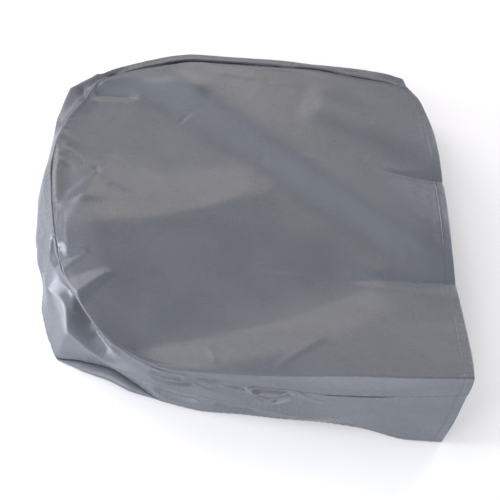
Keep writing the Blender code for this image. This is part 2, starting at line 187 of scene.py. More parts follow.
# Folds of the side band. Their x is the run along the upper seam from the near end of the mouth
# and their y the way down from that seam.
bandFolds = {
    "cornerCrease": (622, 8, 606, 24, 590, 44, 2.2, 12, 9, 0.02, 0.1, 0.2),
    "cornerPleat": (585, 6, 570, 20, 552, 40, 2.6, 12, 8, 0.02, 0.1, 0.2),
    "endFlap": (722, 2, 694, 15, 664, 3, -6, 10, 10, 0.02, 0.05, 0),
    "nearRidge": (470, 28, 330, 42, 180, 62, 4.2, 16, 12, 0.02, 0.1, 0.2),
    "nearSlackA": (350, 8, 290, 14, 215, 3, -8.0, 16, 10, 0.02, 0.2, 0.2),
    "nearSlackB": (288, 24, 262, 31, 232, 10, -8.0, 11, 10, 0.02, 0.1, 0.3),
    "nearSlackC": (440, 12, 405, 22, 366, 18, -4.5, 13, 10, 0.02, 0.2, 0.3),
    "nearSlackD": (304, 6, 286, 22, 258, 38, 6.0, 12, 9, 0.02, 0.1, 0.5),
    "nearSlackE": (392, 2, 372, 16, 340, 26, 6.0, 12, 9, 0.02, 0.1, 0.5),
    "nearSlackF": (232, 4, 212, 14, 180, 20, -5.0, 12, 10, 0.02, 0.1, 0.5),
    "nearFacet": (430, 42, 400, 56, 360, 52, -7.5, 14, 12, 0.05, 0.1, 0.3),
    "nearFacetB": (350, 56, 320, 62, 280, 60, -3.0, 12, 10, 0.05, 0.1, 0.3),
    "peakCrease": (1022, 22, 1010, 14, 996, 2, -3.6, 10, 16, 0.02, 0.05, 0.1),
    "peakFacet": (1052, 8, 1036, 22, 1020, 38, 3.0, 14, 12, 0.05, 0.1, 0.2),
    "endSoftA": (880, 10, 800, 40, 740, 74, 2.6, 34, 26, 0.2, 0.2, 0),
    "endSoftB": (764, 26, 700, 50, 640, 84, -2.8, 26, 32, 0.2, 0.2, 0),
    "farGapStart": (1058, 3.4, 1064, 3.6, 1076, 3.0, -7, 2.6, 3.0, 0.3, 0.3, 0),
    "farGapThin": (1062, 2.2, 1300, 2.6, 1570, 2.2, -7, 1.7, 2.2, 0.3, 0.3, 0),
    "farGapA": (1150, 3.0, 1215, 4.0, 1290, 3.2, -11, 2.8, 3.2, 0.3, 0.3, 0),
    "farGapB": (1270, 3.4, 1312, 4.2, 1352, 3.2, -10, 2.8, 3.2, 0.3, 0.3, 0),
    "farGapC": (1368, 3.2, 1404, 4.0, 1446, 3.0, -8, 2.4, 3.0, 0.3, 0.3, 0),
    "farGapD": (1462, 3.0, 1480, 3.6, 1502, 2.8, -6, 2.2, 2.6, 0.3, 0.3, 0),
    "farSoft": (1120, 12, 1250, 24, 1400, 16, 2.0, 16, 20, 0.2, 0.2, 0.3),
}
seamDepths = (  # run along the upper seam, depth of its groove
    (0, 0.7),
    (90, 0.8),
    (120, 2.6),
    (165, 2.4),
    (205, 0.9),
    (240, 1.8),
    (280, 0.8),
    (480, 0.9),
    (530, 2.2),
    (690, 2.6),
    (880, 3.0),
    (930, 1.2),
    (1060, 1.0),
    (1557, 1.2),
)
crumple = {  # faint creases at random places
    "count": 70,
    "height": 0.36,
    "reach": 20.0,
    "length": 110.0,
    "frontCorners": ((-300, -260), (300, 350)),
    "bandCorners": ((0, 0), (1550, 110)),
}


def smoothCurve(points, at):  # cubic through the points with slopes from their neighbours
    points = np.asarray(points, dtype=float)
    step = np.linalg.norm(np.diff(points[:, :3], axis=0), axis=1)
    knots = np.concatenate([[0.0], np.cumsum(step)])
    slope = np.diff(points, axis=0) / step[:, None]
    inner = slope[:-1] * step[1:, None] + slope[1:] * step[:-1, None]
    inner = inner / (step[1:] + step[:-1])[:, None]
    tangent = np.concatenate([slope[:1], inner, slope[-1:]])
    place = np.asarray(at) * knots[-1]
    i = np.clip(np.searchsorted(knots, place, side="right") - 1, 0, len(step) - 1)
    h = step[i][:, None]
    t = ((place - knots[i]) / step[i])[:, None]
    return (
        (1 + 2 * t) * (1 - t) ** 2 * points[i]
        + t * (1 - t) ** 2 * h * tangent[i]
        + t**2 * (3 - 2 * t) * points[i + 1]
        + t**2 * (t - 1) * h * tangent[i + 1]
    )


def crispCurve(points, at):  # halfway between the smooth curve and straight lines from row to row
    points, keep = np.asarray(points, dtype=float), coverValues["crisp"]
    knots = runLength(points[:, :3])
    straight = [np.interp(np.asarray(at) * knots[-1], knots, column) for column in points.T]
    return keep * np.stack(straight, axis=1) + (1 - keep) * smoothCurve(points, at)


def soften(x):  # 0 to 1 with a level start and end: 3 x squared less 2 x cubed
    x = np.clip(x, 0, 1)
    return x * x * (3 - 2 * x)


def runLength(points, axis=0):  # distance covered along a line of points
    step = np.linalg.norm(np.diff(points, axis=axis), axis=-1)
    first = np.zeros_like(np.take(step, [0], axis=axis))
    return np.concatenate([first, np.cumsum(step, axis=axis)], axis=axis)


# Distances of the extra rows beside a seam, and of those from the mouth across the hem.
edgeSteps = np.array([0.0, 0.6, 1.3, 2.2, 3.4, 5.2])
hemSteps = np.array([0.0, 0.5, 1.5, 4.0, 7.0, 10.0, 11.4, 12.2, 13.0, 14.0, 14.8, 15.6, 17.0])


def mouthToSeam(length):  # distances from the mouth: close together at the hem and at the seam
    cells = coverValues["alongCells"]
    middle = np.linspace(hemSteps[-1], length - edgeSteps[-1], cells + 1)[1:-1]
    return np.concatenate([hemSteps, middle, length - edgeSteps[::-1]])


def crestToSeam(length, cells):  # even distances, close together at the seam at the end
    even = np.linspace(0, length - edgeSteps[-1], cells + 1)[:-1]
    return np.concatenate([even, length - edgeSteps[::-1]])


# Counts of cells, which are the same for every length.
alongCount = len(mouthToSeam(500.0)) - 1
acrossCount = len(crestToSeam(500.0, coverValues["acrossCells"])) - 1
stripCount = len(crestToSeam(30.0, coverValues["stripCells"])) - 1


def sectionSamples():  # every column of the side band round the bag, as rows of the section table
    rows = np.array(list(sections.values()), dtype=float)
    names = list(sections)
    length = runLength(rows[:, :3])
    near, wrap, far = (length[names.index(n)] for n in ("nearCorner", "wrapEnd", "farCorner"))
    wrapShare = crestToSeam(wrap - near, coverValues["stripCells"])[::-1]
    at = np.concatenate([
        mouthToSeam(near),
        wrap - wrapShare[1:],
        wrap + crestToSeam(far - wrap, coverValues["acrossCells"])[1:],
        length[-1] - mouthToSeam(length[-1] - far)[-2::-1],
    ])
    return crispCurve(rows, at / length[-1])


def outwardOf(plan):  # unit vectors square to the plan curve and along it, the first out of the bag
    along = np.gradient(plan, axis=0)
    along /= np.linalg.norm(along, axis=1)[:, None]
    return np.stack([-along[:, 1], along[:, 0]], axis=1), along


samples = sectionSamples()
ringLength = runLength(samples[:, :2])
print("columns round the bag:", len(samples))


def sideBand():  # band surface: seam, tuck, fold and foot lines joined down each column by a cubic
    s = dict(zip(sectionColumns, samples.T))
    out, along = outwardOf(samples[:, :2])
    side = np.where(np.arange(len(samples)) < len(samples) / 2, 1.0, -1.0)
    lean = (s["lean"] * side)[:, None] * along

    def level(offset, height, share):
        flat = samples[:, :2] + out * np.reshape(offset, (-1, 1)) + lean * share
        return np.concatenate([flat, height[:, None]], axis=1)

    seam = level(0.0, s["z"], 0.0)
    tuck = level(s["tuckOut"], s["z"] - s["tuckDrop"], 0.2)
    fold = level(s["foldOut"], s["foldZ"], 0.5)
    foot = level(s["footOut"], np.maximum(s["footZ"], 0.0), 1.0)
    # The rows lie closer together under the seam, and again above the foot.
    down = np.linspace(0, 1, coverValues["downCells"] + 1) ** 1.4
    down = np.concatenate([down[:-1], 1 - np.array([0.013, 0.006, 0.0])])
    return np.stack([crispCurve(np.stack(row), down) for row in zip(seam, tuck, fold, foot)])


def patch(near, left, far, right, u, v):  # blend of four edge curves less the blend of the corners
    u, v = u[:, None, None], v[None, :, None]
    across = near[:, None] * (1 - v) + far[:, None] * v
    along = left[None] * (1 - u) + right[None] * u
    corners = (near[0] * (1 - u) + near[-1] * u) * (1 - v) + (far[0] * (1 - u) + far[-1] * u) * v
    return across + along - corners


def evenHem(grid):  # slides the rows of each column so that the hem keeps one width all along
    fromMouth = runLength(grid[::-1])
    length, end = fromMouth[-1], hemSteps[-1]
    wanted = mouthToSeam(fromMouth[-1, 0])[:, None]
    stretch = (length - end) / (fromMouth[-1, 0] - end)
    wanted = np.where(wanted <= end, wanted, end + (wanted - end) * stretch)
    fixed = np.empty_like(grid)
    for col in range(grid.shape[1]):
        for axis in range(3):
            line = grid[::-1, col, axis]
            fixed[:, col, axis] = np.interp(wanted[:, col], fromMouth[:, col], line)[::-1]
    fixed[:, 0], fixed[:, -1] = grid[:, 0], grid[:, -1]
    fixed[0] = grid[0]
    return fixed


def flank(away, crest):  # 1 at the fold line to 0 at the edge: straight, rounded at both ends
    toe, crest = 0.4, np.maximum(crest, 0.01)
    away = np.clip(away, 0, 1)
    fallen = np.where(away < crest, away**2 / (2 * crest), away - crest / 2)
    fallen -= np.clip(away + toe - 1, 0, 1) ** 2 / (2 * toe)
    return 1 - fallen / (1 - crest / 2 - toe / 2)


def foldHeight(x, y, folds):  # sum of all folds, each falling off square to its bent line
    total = np.zeros_like(x)
    t = np.linspace(0, 1, 120)
    for row in folds.values():
        f = dict(zip(foldColumns, row))
        bendX = 2 * f["xm"] - (f["x0"] + f["x1"]) / 2
        bendY = 2 * f["ym"] - (f["y0"] + f["y1"]) / 2
        lineX = (1 - t) ** 2 * f["x0"] + 2 * t * (1 - t) * bendX + t**2 * f["x1"]
        lineY = (1 - t) ** 2 * f["y0"] + 2 * t * (1 - t) * bendY + t**2 * f["y1"]
        reach = max(f["left"], f["right"]) + 2
        close = (x > lineX.min() - reach) & (x < lineX.max() + reach)
        close &= (y > lineY.min() - reach) & (y < lineY.max() + reach)
        px, py = x[close], y[close]
        nearest = np.argmin((px[:, None] - lineX) ** 2 + (py[:, None] - lineY) ** 2, axis=1)
        dx, dy = px - lineX[nearest], py - lineY[nearest]
        runX, runY = np.gradient(lineX)[nearest], np.gradient(lineY)[nearest]
        step = np.hypot(runX, runY)
        runX, runY = runX / step, runY / step
        # The distance is taken to the line's tangent there, so that it runs smoothly on.
        slide = np.clip(dx * runX + dy * runY, -step * 0.5, step * 0.5)
        turn = runX * dy - runY * dx
        away = np.hypot(dx - slide * runX, dy - slide * runY)
        place = np.clip(t[nearest] + slide / step / len(t), 0, 1)
        narrow = 1 - f["taper"] * place
        away = away / (np.where(turn > 0, f["left"], f["right"]) * narrow)
        shape = flank(away, np.where(turn > 0, f["leftRound"], f["rightRound"]))
        ends = soften(np.minimum(place, 1 - place) * 6)
        total[close] += f["height"] * narrow * shape * ends
    return total


def crumpleFolds(low, high, seed):  # rows of faint creases at random places between two corners
    pick = np.random.default_rng(seed)
    count = crumple["count"]
    middle = pick.uniform(low, high, (count, 2))
    angle = pick.uniform(0, 2 * np.pi, count)
    half = pick.uniform(0.2, 0.5, count) * crumple["length"]
    step = np.stack([np.cos(angle), np.sin(angle)], axis=1) * half[:, None]
    bend = step[:, ::-1] * (1, -1) * pick.uniform(-0.25, 0.25, (count, 1))
    height = pick.uniform(-1, 1, (count, 1)) * crumple["height"]
    reach = pick.uniform(0.4, 1.0, (count, 2)) * crumple["reach"]
    rounding = np.full((count, 3), (0.05, 0.1, 0.4))
    rows = np.hstack([middle - step, middle + bend, middle + step, height, reach, rounding])
    return dict(enumerate(rows.tolist()))


def gathers(run, seed):  # uneven ripples along a seam: a wave with a wandering length and height
    wave = np.sin(run * 0.62 + 1.7 * np.sin(run * 0.083 + seed) + seed)
    wave += 0.6 * np.sin(run * 1.13 + 2.1 * np.sin(run * 0.061 + 2 * seed))
    return wave * (0.45 + 0.55 * np.sin(run * 0.037 + seed * 3) ** 2)


def gridFaces(rows, cols):  # corner numbers of a grid's four-sided faces
    index = np.arange(rows * cols).reshape(rows, cols)
    a, b, c, d = index[:-1, :-1], index[1:, :-1], index[1:, 1:], index[:-1, 1:]
    return np.stack([a, b, c, d], axis=-1).reshape(-1, 4)


def edgeLoop(rows, cols):  # near, closed and far edges of a panel grid, in the order of the band
    index = np.arange(rows * cols).reshape(rows, cols)
    return np.concatenate([index[:0:-1, 0], index[0], index[1:, -1]])


def pointNormals(points, faces):  # sum of the crossed diagonals of the faces round each point
    corners = points[faces]
    normal = np.cross(corners[:, 2] - corners[:, 0], corners[:, 3] - corners[:, 1])
    total = np.zeros_like(points)
    for k in range(4):
        np.add.at(total, faces[:, k], normal)
    return total / np.maximum(np.linalg.norm(total, axis=1), 1e-12)[:, None]


def frontPanel():  # the strip turned down over the near crest, then the top inside its four edges
    seam = samples[:, :3]
    near = seam[: alongCount + 1][::-1]
    closed = seam[alongCount : alongCount + stripCount + acrossCount + 1]
    far = seam[alongCount + stripCount + acrossCount :]
    wrap, left = closed[: stripCount + 1], closed[stripCount:]
    nearRun = runLength(near)
    crest = smoothCurve([*crestLine, left[0]], 1 - nearRun / nearRun[-1])
    wide, narrow = coverValues["panelWidth"], coverValues["stripWidth"]
    v = crestToSeam(wide, coverValues["acrossCells"]) / wide
    mouth = smoothCurve([crest[-1], *mouthLine, far[-1]], v)
    planRun = runLength(near[:, :2])
    top = evenHem(patch(crest, left, far, mouth, planRun / planRun[-1], v))
    fromLeft = runLength(top)
    fromFar = runLength(top[:, ::-1], axis=1)[:, ::-1]
    fromCrest = runLength(top, axis=1)
    inside = np.minimum(np.minimum(fromLeft, fromFar), fromCrest)
    x, y = top[..., 0], top[..., 1]
    top[..., 2] += foldHeight(x, y, mainFolds) * soften(inside / coverValues["foldFade"])
    top[..., 2] += foldHeight(x, y, smallFolds) * soften(inside / coverValues["smallFade"])
    faint = foldHeight(x, y, crumpleFolds(*crumple["frontCorners"], crumpleSeeds["front"]))
    top[..., 2] += faint * soften(inside / coverValues["crumpleFade"])
    share = 1 - crestToSeam(narrow, coverValues["stripCells"])[::-1][None, :, None] / narrow
    strip = near[:, None] * (1 - share) + crest[:, None] * share
    bow = np.linspace(0, coverValues["stripBow"], alongCount + 1)[:, None]
    strip[..., 1] -= np.sin(np.pi * share[..., 0]) * bow
    strip[0] = wrap
    return np.concatenate([strip[:, :-1], top], axis=1)


def backPanel(foot):  # flat on the surface, its edge set in from the lower seam by the roll
    floorEdge = foot * (1, 1, 0)
    roll = samples[:, sectionColumns.index("roll")]
    floorEdge[:, :2] += outwardOf(foot[:, :2])[0] * roll[:, None]
    near = floorEdge[: alongCount + 1][::-1]
    left = floorEdge[alongCount : alongCount + stripCount + acrossCount + 1]
    far = floorEdge[alongCount + stripCount + acrossCount :]
    share = runLength(left)
    share = share / share[-1]
    planRun = runLength(near[:, :2])
    mouth = near[-1] * (1 - share[:, None]) + far[-1] * share[:, None]
    return evenHem(patch(near, left, far, mouth, planRun / planRun[-1], share))


def seamDepth(run):  # the upper seam is drawn in deeper along some stretches, unevenly
    depth = np.interp(run, *zip(*seamDepths)) * (1 + 0.25 * gathers(run * 0.8, seeds["depth"]))
    return np.clip(depth, 0.5, 3.2)


def sinkSeam(points, normals, fromSeam, run, depth, seed):  # a bell curve, with gathers beside it
    dip = depth * np.exp(-((fromSeam / coverValues["seamDipReach"]) ** 2))
    beside = np.exp(-fromSeam / coverValues["puckerReach"]) * (1 - np.exp(-fromSeam / 2.0))
    ripple = coverValues["pucker"] * gathers(run, seed) * beside
    fromLip = (fromSeam - coverValues["seamLipAt"]) / coverValues["seamLipReach"]
    lip = coverValues["seamLip"] * np.exp(-(fromLip**2))
    points += normals * (ripple + lip - dip)[..., None]


def hemStep(fromMouth):  # 1 on the hem, round to 0 at its folded edge, sloped to 0 inside
    away = 1 - np.clip(fromMouth / coverValues["hemRound"], 0, 1)
    inner = (fromMouth - coverValues["hem"] + 0.8) / coverValues["hemSlope"]
    return np.sqrt(np.clip(1 - away**2, 0, 1)) * (1 - soften(inner))


def raiseHem(points, normals, fromMouth, run):  # the step, a groove at the stitches, gathers there
    fromRow = fromMouth - coverValues["stitchRow"]
    sewn = coverValues["stitchSink"] * np.exp(-((fromRow / 0.8) ** 2))
    ripple = 0.16 * gathers(run * 1.3, seeds["hem"]) * np.exp(-((fromRow / 6.0) ** 2))
    points += normals * (coverValues["hemProud"] * hemStep(fromMouth) - sewn + ripple)[..., None]


def meshOf(name, points, faces, uv, material):  # a mesh object in metres round the plan centre
    mesh = bpy.data.meshes.new(name)
    mesh.from_pydata(((points - (*planCentre, 0.0)) / 1000).tolist(), [], faces)
    mesh.polygons.foreach_set("use_smooth", np.ones(len(mesh.polygons), dtype=bool))
    corner = np.empty(len(mesh.loops), dtype=np.int32)
    mesh.loops.foreach_get("vertex_index", corner)
    layer = mesh.uv_layers.new(name="cloth")
    layer.data.foreach_set("uv", (uv[corner] / 1000).astype(np.float32).ravel())
    mesh.materials.append(material)
    mesh.update()
    piece = bpy.data.objects.new(name, mesh)
    bpy.context.scene.collection.objects.link(piece)
    return piece


def closedSheet(name, outer, inner, faces, uv, material):  # two skins joined by a rim all round
    shift = len(outer)
    sides = np.concatenate([np.roll(faces, -k, axis=1)[:, :2] for k in range(4)]).astype(np.int64)
    # A side is free when no face has it the other way round.
    a, b = sides.T
    free = ~np.isin(a * shift + b, b * shift + a)
    a, b = sides[free].T
    rim = np.stack([b, a, a + shift, b + shift], axis=1)
    every = np.concatenate([faces, faces[:, ::-1] + shift, rim]).tolist()
    return meshOf(name, np.concatenate([outer, inner]), every, np.tile(uv, (2, 1)), material)


def mitre(first, second):  # shared outward step of two panels that meet at a seam
    both = first + second
    both /= np.linalg.norm(both, axis=1)[:, None]
    return both / np.maximum((both * first).sum(axis=1), 0.6)[:, None]


def thicknessAt(fromMouth):  # the cloth's, more on the hem, and thin at the very edge
    extra = coverValues["hemThickness"] - coverValues["cloth"]
    edge = 0.3 + 0.7 * np.clip(fromMouth / 0.8, 0, 1)
    return (coverValues["cloth"] + extra * hemStep(fromMouth)) * edge


# The three panels, worked out together because they share their seams.
count = len(samples)
band = sideBand()
front = frontPanel()
back = backPanel(band[:, -1])
rows, cols, deep = front.shape[0], front.shape[1], band.shape[1]
bandDown = runLength(band, axis=1)
bandUp = bandDown[:, -1:] - bandDown
bandRun = np.repeat(ringLength[:, None], deep, axis=1)
bandOut = pointNormals(band.reshape(-1, 3), gridFaces(count, deep)).reshape(band.shape)
bandCrumple = crumpleFolds(*crumple["bandCorners"], crumpleSeeds["band"])
creases = foldHeight(bandRun, bandDown, {**bandFolds, **bandCrumple})
creases *= soften(bandDown / 2.5) * soften(bandUp / 8)
band += bandOut * creases[..., None]
print("panels:", front.shape, band.shape, back.shape)

frontFaces, frontLoop = gridFaces(rows, cols), edgeLoop(rows, cols)
bandFaces = gridFaces(count, deep)
bandTop = np.arange(count) * deep
bandFoot = bandTop + deep - 1

# The back panel is its flat grid and a collar of rings that rolls up to the lower seam: straight
# from edge to edge, with a belly that is highest halfway.
rise = np.linspace(0, 1, 6)[1:, None, None]
flatEdge, foot = back.reshape(-1, 3)[frontLoop], band[:, -1]
outwards = np.concatenate([outwardOf(foot[:, :2])[0], np.zeros((count, 1))], axis=1)
belly = outwards * (foot[:, 2:] * 0.5)
collar = flatEdge * (1 - rise) + foot * rise + belly * 4 * rise * (1 - rise)
ringOne = rows * cols + np.arange(count)
rings = [frontLoop] + [ringOne + count * k for k in range(len(rise))]
strips = [np.stack([b[1:], a[1:], a[:-1], b[:-1]], axis=1) for a, b in zip(rings, rings[1:])]
backFaces = np.concatenate([gridFaces(rows, cols)[:, ::-1], *strips])
collarEdge = rings[-1]

# Distances along each panel's surface from its seams and from the mouth.
nearRing, farRing = ringLength[: alongCount + 1][::-1], ringLength[count - alongCount - 1 :]
closedRing = ringLength[alongCount : alongCount + cols]
fromClosed, fromNear = runLength(front), runLength(front, axis=1)
fromFar = runLength(front[:, ::-1], axis=1)[:, ::-1]
frontMouth = runLength(front[::-1])[::-1]
frontSeam = np.minimum(np.minimum(fromClosed, fromNear), fromFar)
frontRun = np.where(fromNear <= frontSeam, nearRing[:, None], farRing[:, None])
frontRun = np.where(fromClosed <= frontSeam, closedRing[None], frontRun)
frontUv = np.stack([fromNear, fromClosed], axis=-1).reshape(-1, 2)
bandMouth = np.minimum(runLength(band), runLength(band[::-1])[::-1])
bandUv = np.stack([bandRun, bandDown], axis=-1).reshape(-1, 2)
backMouth = runLength(back[::-1])[::-1]

front, band = front.reshape(-1, 3), band.reshape(-1, 3)
back = np.concatenate([back.reshape(-1, 3), collar.reshape(-1, 3)])
upper = mitre(pointNormals(front, frontFaces)[frontLoop], pointNormals(band, bandFaces)[bandTop])
lower = mitre(pointNormals(back, backFaces)[collarEdge], pointNormals(band, bandFaces)[bandFoot])
upperSeam, lowerSeam = front[frontLoop].copy(), band[bandFoot].copy()

frontNormals, bandNormals = pointNormals(front, frontFaces), pointNormals(band, bandFaces)
frontDepth, bandDepth = seamDepth(frontRun.ravel()), seamDepth(bandRun.ravel())
sinkSeam(front, frontNormals, frontSeam.ravel(), frontRun.ravel(), frontDepth, seeds["frontSeam"])
sinkSeam(band, bandNormals, bandDown.ravel(), bandRun.ravel(), bandDepth, seeds["bandSeam"])
footDepth = coverValues["seamDip"]
sinkSeam(band, bandNormals, bandUp.ravel(), bandRun.ravel(), footDepth, seeds["footSeam"])
raiseHem(front, frontNormals, frontMouth.ravel(), fromNear.ravel())
raiseHem(band, bandNormals, bandMouth.ravel(), bandDown.ravel())
front[frontLoop] = band[bandTop] = upperSeam - upper * seamDepth(ringLength)[:, None]
back[collarEdge] = band[bandFoot] = lowerSeam - lower * footDepth * 0.6
for points in (band, back):
    points[:, 2] = np.maximum(points[:, 2], 0.0)

frontThick = thicknessAt(frontMouth.ravel())[:, None]
bandThick = thicknessAt(bandMouth.ravel())[:, None]
backThick = np.concatenate([
    thicknessAt(backMouth.ravel()), np.full(count * len(rise), coverValues["cloth"])
])[:, None]
frontInner = front - pointNormals(front, frontFaces) * frontThick
bandInner = band - pointNormals(band, bandFaces) * bandThick
backInner = back - pointNormals(back, backFaces) * backThick
frontInner[frontLoop] = bandInner[bandTop] = front[frontLoop] - upper * frontThick[frontLoop]
backInner[collarEdge] = bandInner[bandFoot] = band[bandFoot] - lower * bandThick[bandFoot]
print("seams sunk, hems raised")


class Wire:  # a shader socket that adds Math nodes when it is used in an expression
    def __init__(self, tree, socket):
        self.tree, self.socket = tree, socket

    def math(self, operation, *others):
        return self.tree.add("ShaderNodeMath", {"operation": operation}, self, *others)

    def __add__(self, other):
        return self.math("ADD", other)

    def __sub__(self, other):
        return self.math("SUBTRACT", other)

    def __mul__(self, other):
        return self.math("MULTIPLY", other)

    def __rsub__(self, other):
        return self * -1.0 + other

    def __getitem__(self, name):
        return Wire(self.tree, self.socket.node.outputs[name])

    __radd__, __rmul__ = __add__, __mul__

    def sine(self):
        return self.math("SINE")

    def range(self, low, high):  # 0 at low, 1 at high, held between
        settings = {"clamp": True, "interpolation_type": "SMOOTHSTEP"}
        return self.tree.add("ShaderNodeMapRange", settings, self, low, high, 0.0, 1.0)


class ShaderTree:  # one material's node tree
    def __init__(self, name):
        self.material = bpy.data.materials.new(name)
        self.material.use_nodes = True
        self.nodes, self.links = self.material.node_tree.nodes, self.material.node_tree.links
        self.shader = self.nodes["Principled BSDF"]

    def add(self, kind, settings=None, *values, **named):  # a node with its settings, then sockets
        node = self.nodes.new(kind)
        for key, value in (settings or {}).items():
            setattr(node, key, value)
        for key, value in [*enumerate(values), *named.items()]:
            key = key.replace("_", " ") if isinstance(key, str) else key
            self.put(node.inputs[key], value)
        return Wire(self, node.outputs[0])

    def put(self, socket, value):
        if isinstance(value, Wire):
            self.links.new(value.socket, socket)
        else:
            socket.default_value = value

    def blend(self, share, first, second):  # a colour between two others
        mix = self.add("ShaderNodeMix", {"data_type": "RGBA"}).socket.node
        for place, value in ((0, share), (6, first), (7, second)):
            self.put(mix.inputs[place], value)
        return Wire(self, mix.outputs[2])

    def finish(self, **sockets):  # values or wires for the Principled shader
        for key, value in sockets.items():
            self.put(self.shader.inputs[key.replace("_", " ")], value)
        return self.material


clothValues = {
    "dark": (0.100, 0.110, 0.130, 1.0),
    "light": (0.116, 0.127, 0.149, 1.0),
    "seam": (0.016, 0.017, 0.020, 1.0),  # painted shade that collects in the deep seams and the gap under the far seam
    "roughness": 0.22,
    "thread": 0.55,  # pitch of the weave
    "weaveDepth": 0.02,
    "slubDepth": 0.03,
    "crinkleDepth": 0.04,
    "slubScales": (60.0, 1400.0),  # along and across a thread, to the metre
    "crinkleScale": 95.0,
    "broadScale": 9.0,
    "sheen": 0.06,
    "sheenTint": (0.85, 0.9, 1.0, 1.0),
    "ior": 1.62,
}


def coatedCloth(name, rougher=0.0):  # plain weave with uneven threads under a satin coating
    v = clothValues
    tree = ShaderTree(name)
    uv = tree.add("ShaderNodeUVMap", {"uv_map": "cloth"})
    split = tree.add("ShaderNodeSeparateXYZ", None, uv)
    turn = 2000 * math.pi / v["thread"]  # the weave is a wave each way, and the map is in metres
    weave = (split["X"] * turn).sine() * (split["Y"] * turn).sine()
    slubs = []
    for scales in (v["slubScales"], v["slubScales"][::-1]):
        place = tree.add("ShaderNodeMapping", None, uv, Scale=(*scales, 1.0))
        slubs.append(tree.add("ShaderNodeTexNoise", None, place, Scale=1.0, Detail=2.0))
    slub = (slubs[0] + slubs[1]) * 0.5
    crinkle, broad = (
        tree.add("ShaderNodeTexNoise", None, uv, Scale=scale, Detail=detail, Roughness=rough)
        for scale, detail, rough in ((v["crinkleScale"], 3.0, 0.55), (v["broadScale"], 4.0, 0.5))
    )
    # The seam attribute is painted shade: it pulls the colour toward the dark seam colour in deep
    # seams, in the far gap and along the hem's step, and roughens it there.
    shade = tree.add("ShaderNodeAttribute", {"attribute_name": "paintedSeamShade"})["Fac"]
    tone = (broad.range(0.3, 0.7) * 0.5 + slub * 0.4 + weave * 0.08).range(0.1, 0.9)
    height = weave * v["weaveDepth"] + slub * v["slubDepth"] + crinkle * v["crinkleDepth"]
    bump = tree.add("ShaderNodeBump", None, Strength=1.0, Distance=0.001, Height=height)
    return tree.finish(
        Base_Color=tree.blend(shade * 0.85, tree.blend(tone, v["dark"], v["light"]), v["seam"]),
        Roughness=v["roughness"] + rougher + broad * 0.06 + slub * 0.05 + shade * 0.2,
        Normal=bump,
        Sheen_Weight=v["sheen"],
        Sheen_Roughness=0.4,
        Sheen_Tint=v["sheenTint"],
        IOR=v["ior"],
    )


def paintedSeamShadeOf(fromSeam, fromMouth, depth):  # painted shade: darkest in a deep seam, faint along the hem's inner step
    hemEdge = np.exp(-(((fromMouth - coverValues["hem"] - 0.3) / 0.7) ** 2)) * 0.2
    return np.maximum(np.exp(-((fromSeam / 1.0) ** 2)) * np.clip(depth / 2.4, 0.2, 1), hemEdge)


def clothPiece(name, skins, faces, uv, shade, material, node):  # a panel, with painted shade at its seams
    piece = closedSheet(name, *skins, faces, uv, material)
    layer = piece.data.attributes.new("paintedSeamShade", "FLOAT", "POINT")
    layer.data.foreach_set("value", np.tile(shade, 2).astype(np.float32))
    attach(piece, "root")
    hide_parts(node)
    return piece


frontCloth, bandCloth = coatedCloth("frontCloth"), coatedCloth("bandCloth")
backCloth = coatedCloth("backCloth", 0.04)
# Painted shade for each panel: dark in its seams and faint along its hem's step.
frontPaintedShade = paintedSeamShadeOf(frontSeam, frontMouth, frontDepth.reshape(rows, cols)).ravel()
# Painted shadow in the gap under the far seam: it darkens with the depth of its creases and fades
# 10 mm down the band.
gapPaintedShadow = np.clip(-creases / 3 - 0.3, 0, 1) * soften(2.4 - bandDown / 4)
bandPaintedShade = paintedSeamShadeOf(np.minimum(bandDown, bandUp), bandMouth, bandDepth.reshape(count, deep))
bandPaintedShade = np.maximum(bandPaintedShade, gapPaintedShadow).ravel()
farOff = 99.0  # a distance at which no seam or hem is felt
# Painted shade on the back panel's collar beside the lower seam and along its hem's step.
collarSeam = np.repeat((1 - rise.ravel()) * 10, count)
backSeam = np.concatenate([np.full(rows * cols, farOff), collarSeam])
backHem = np.concatenate([backMouth.ravel(), np.full(count * len(rise), farOff)])
backPaintedShade = paintedSeamShadeOf(backSeam, backHem, coverValues["seamDip"])
frontSkins, bandSkins, backSkins = (front, frontInner), (band, bandInner), (back, backInner)
backUv = back[:, :2]
frontPiece = clothPiece(
    "front_cloth_panel", frontSkins, frontFaces, frontUv, frontPaintedShade,
    frontCloth, "front_panel",
)
bandPiece = clothPiece(
    "side_cloth_band", bandSkins, bandFaces, bandUv, bandPaintedShade,
    bandCloth, "side_band",
)
backPiece = clothPiece(
    "back_cloth_panel", backSkins, backFaces, backUv, backPaintedShade,
    backCloth, "back_panel",
)
print("cloth panels made")


stitchValues = {
    "length": 2.9,
    "pitch": 3.6,
    "width": 0.55,
    "height": 0.36,
    "dark": (0.050, 0.054, 0.062, 1.0),  # the thread is a shade darker than the cloth
    "light": (0.105, 0.112, 0.126, 1.0),
    "twist": (5200.0, 3800.0),  # how fast the two plies change, along and across the stitch
    "roughness": 0.55,
}


def threadMaterial(name):  # two-ply thread: slanting stripes from a wave
    v = stitchValues
    tree = ShaderTree(name)
    uv = tree.add("ShaderNodeUVMap", {"uv_map": "cloth"})
    split = tree.add("ShaderNodeSeparateXYZ", None, uv)
    ply = (split["X"] * v["twist"][0] + split["Y"] * v["twist"][1]).sine() * 0.5 + 0.5
    bump = tree.add("ShaderNodeBump", None, Strength=0.6, Distance=0.0001, Height=ply)
    colour = tree.blend(ply, v["dark"], v["light"])
    return tree.finish(Base_Color=colour, Roughness=ply * 0.1 + v["roughness"], Normal=bump)


def stitchPath(grid, fromMouth, normals):  # where the stitch row crosses each column of a panel
    row = coverValues["stitchRow"]
    after = np.argmax(fromMouth > row, axis=0)
    col = np.arange(grid.shape[1])
    a, b = fromMouth[after - 1, col], fromMouth[after, col]
    share = ((row - a) / (b - a))[:, None]
    place = grid[after - 1, col] * (1 - share) + grid[after, col] * share
    return place, normals[after - 1, col] * (1 - share) + normals[after, col] * share


